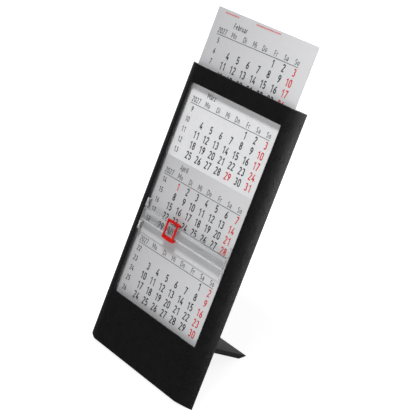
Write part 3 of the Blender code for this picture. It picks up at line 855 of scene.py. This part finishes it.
YEAR_LEFT = -48.1 * MM
LINE_RIGHT = 43.8 * MM
WEEK_RIGHT = -42.8 * MM
FIRST_COLUMN = -26.3 * MM        # right edge of the Monday column
COLUMN_PITCH = 11.68 * MM
ROW_PITCH = 7.9 * MM
FIRST_ROW = 4.1 * MM             # from the underline to the middle of the first row
ROWS = 5                         # a sixth week shares the fifth row
DAY_HEIGHT = 5.6 * MM
SHARED_HEIGHT = 3.5 * MM
SHARED_GAP = 0.4 * MM
SMALL_HEIGHT = 4.1 * MM
HEADER_UP = 1.15 * MM
NAME_UP = 7.7 * MM
NAME_LEFT = FIRST_COLUMN - 6.6 * MM
RULE_WEIGHT = 0.45 * MM
# Stroke widths as shares of the lettering's height.
YEAR_WEIGHT, LABEL_WEIGHT, WEEK_WEIGHT, DAY_WEIGHT = 0.145, 0.13, 0.15, 0.165


def print_dates(page, days, column, middle):
    """One cell of a month: a date, or two small ones above one another."""
    height = DAY_HEIGHT if len(days) == 1 else SHARED_HEIGHT
    for place, day in enumerate(days):
        up = ((len(days) - 1) / 2 - place) * (height + SHARED_GAP)
        red = column == 6 or (day.month, day.day) in HOLIDAYS
        page.text(str(day.day), FIRST_COLUMN + column * COLUMN_PITCH, middle + up - height / 2,
                  height, DAY_WEIGHT, RED_INK if red else BLACK_INK, "right")


def print_month(page, month, line_z):
    """One month's block; line_z is the height of its underline. Months run on past 12."""
    year = PATTERN_YEAR + (month - 1) // 12
    month = (month - 1) % 12 + 1
    header = line_z + HEADER_UP
    page.text(PRINTED_YEAR, YEAR_LEFT, header, SMALL_HEIGHT, YEAR_WEIGHT, GREY_INK)
    page.text(MONTHS[month - 1], NAME_LEFT, line_z + NAME_UP, SMALL_HEIGHT, LABEL_WEIGHT,
              BLACK_INK)
    for column, label in enumerate(WEEKDAYS):
        page.text(label, FIRST_COLUMN + column * COLUMN_PITCH, header, SMALL_HEIGHT,
                  LABEL_WEIGHT, GREY_INK, "right")
    page.stroke([(YEAR_LEFT, line_z), (LINE_RIGHT, line_z)], RULE_WEIGHT, GREY_INK)
    weeks = calendar.Calendar().monthdatescalendar(year, month)
    for row, week in enumerate(weeks[:ROWS]):
        middle = line_z - FIRST_ROW - row * ROW_PITCH
        page.text(str(week[0].isocalendar()[1]), WEEK_RIGHT, middle - SMALL_HEIGHT / 2,
                  SMALL_HEIGHT, WEEK_WEIGHT, BLACK_INK, "right")
        sharing = weeks[row:] if row == ROWS - 1 else [week]
        for column in range(len(WEEKDAYS)):
            days = [later[column] for later in sharing if later[column].month == month]
            print_dates(page, days, column, middle)


TEAR_MARKS = ((-46.9, -30.8), (-10.9, 17.0))   # stretches of small red marks at the top, mm
MARK_LENGTH, MARK_STEP, MARK_WEIGHT, MARK_DOWN = 0.7 * MM, 1.25 * MM, 1.1 * MM, 2.2 * MM


def print_shift(number):
    """The front sheet's print sits a little higher on its sheet than the others'."""
    return 0 if number == 1 else -1.1 * MM


def print_side(number, side, first_month, inks):
    """Print three months, from first_month on, on one side of a card."""
    low, high = frame_box(f"month_card_{number}")
    if side == "front":
        page = Page(low.y, -1, 1)
    else:
        page = Page(high.y, 1, -1)
    for block, line in enumerate(LINES):
        print_month(page, first_month + block, high.z - line + print_shift(number))
    for start, end in TEAR_MARKS:
        left = start * MM
        while left + MARK_LENGTH < end * MM:
            page.stroke([(left, high.z - MARK_DOWN), (left + MARK_LENGTH, high.z - MARK_DOWN)],
                        MARK_WEIGHT, RED_INK)
            left += MARK_STEP
    printed = page.object(f"print_{side}_{number}")
    return finished(printed, inks, f"card_{number}")


# --------------------------------------------------------------------- floor and light
FLOOR_GLOW = 0.88
WORLD_GLOW = 0.04
BACKDROP_GLOW = 0.5
OVERHEAD_POWER = 15.5
FRONT_POWER = 3


def make_floor():
    """A white light table, so that the calendar's shadow stays faint."""
    material, tree, shader = new_material("pale_floor")
    pale = two_tones(tree, noise(tree, 3, 2), (0.60, 0.60, 0.60), (0.64, 0.64, 0.64))
    tree.links.new(pale, shader.inputs["Base Color"])
    shader.inputs["Roughness"].default_value = 0.9
    shader.inputs["Specular IOR Level"].default_value = 0.1
    shader.inputs["Emission Color"].default_value = (1, 1, 1, 1)
    shader.inputs["Emission Strength"].default_value = FLOOR_GLOW
    bpy.ops.mesh.primitive_plane_add(size=60)
    floor = bpy.context.object
    floor.name = "floor"
    floor.data.materials.append(material)
    floor.visible_glossy = False


def softbox(name, place, target, width, height, power):
    data = bpy.data.lights.new(name, "AREA")
    data.shape = "RECTANGLE"
    data.size, data.size_y, data.energy = width, height, power
    lamp = bpy.data.objects.new(name, data)
    bpy.context.scene.collection.objects.link(lamp)
    lamp.location = place
    lamp.rotation_euler = (Vector(target) - Vector(place)).to_track_quat("-Z", "Y").to_euler()


def make_light():
    """Key light overhead, a strip at the front right, and a backdrop brighter than the room."""
    world = bpy.data.worlds.new("studio")
    world.use_nodes = True
    tree = world.node_tree
    place = tree.nodes.new("ShaderNodeTexCoord")
    axes = tree.nodes.new("ShaderNodeSeparateXYZ")
    tree.links.new(place.outputs["Generated"], axes.inputs["Vector"])
    glow = spread(tree, axes.outputs["Y"], WORLD_GLOW, BACKDROP_GLOW, 0.2, 0.7)
    tree.links.new(glow, tree.nodes["Background"].inputs["Strength"])
    tree.nodes["Background"].inputs["Color"].default_value = (1, 1, 1, 1)
    bpy.context.scene.world = world
    softbox("overhead", (0.06, -0.16, 1.45), (0, 0, 0.12), 0.30, 0.30, OVERHEAD_POWER)
    softbox("front_right", (0.78, -1.00, 0.56), (0, 0, 0.10), 0.24, 1.0, FRONT_POWER)
    bpy.context.scene.view_settings.view_transform = "Standard"


# --------------------------------------------------------------------------- assembly
make_camera()
matte_black = moulded_plastic("matte_black", ((0.0052, 0.0052, 0.0054), (0.0062, 0.0062, 0.0064)),
                              0.28, 1100, 0.00024, 0.8)
cover_black = moulded_plastic("cover_black", ((0.006, 0.006, 0.0062), (0.009, 0.009, 0.0092)),
                              0.55, 1200, 0.00014)
leg_black = moulded_plastic("leg_black", ((0.011, 0.011, 0.0112), (0.015, 0.015, 0.0152)),
                            0.5, 1200, 0.00012)
marker_red = moulded_plastic("marker_red", ((0.57, 0.004, 0.003), (0.66, 0.006, 0.004)),
                             0.35, 900, 0.00004, 0.3)
clear = [clear_plastic("clear_plastic"), frosted_plastic("frosted_edge")]
steel = drawn_steel("drawn_steel")
white_card = paper("white_card", ((0.70, 0.70, 0.71), (0.735, 0.735, 0.745)))
# printed grey tint, darker on the left and paler on the right; that left-to-right change is painted
# light
tint_and_painted_light_card = tinted_paper("tint_and_painted_light_card", (0.495, 0.495, 0.505), (0.64, 0.64, 0.65), 56 * MM)
inks = [ink("black_ink", ((0.018, 0.018, 0.020), (0.035, 0.035, 0.038))),
        ink("grey_ink", ((0.055, 0.055, 0.06), (0.085, 0.085, 0.09))),
        ink("red_ink", ((0.55, 0.012, 0.015), (0.66, 0.022, 0.024)))]

make_front_shell(matte_black)
make_rear_cover(cover_black)
make_leg(leg_black)
make_pin(steel)
make_slider(clear)
make_marker(marker_red)
for number in range(1, len(CARD_NAMES) + 1):
    make_card(number, [white_card, tint_and_painted_light_card])
    print_side(number, "front", 2 * number, inks)
    print_side(number, "back", 2 * number + 1, inks)
make_floor()
make_light()
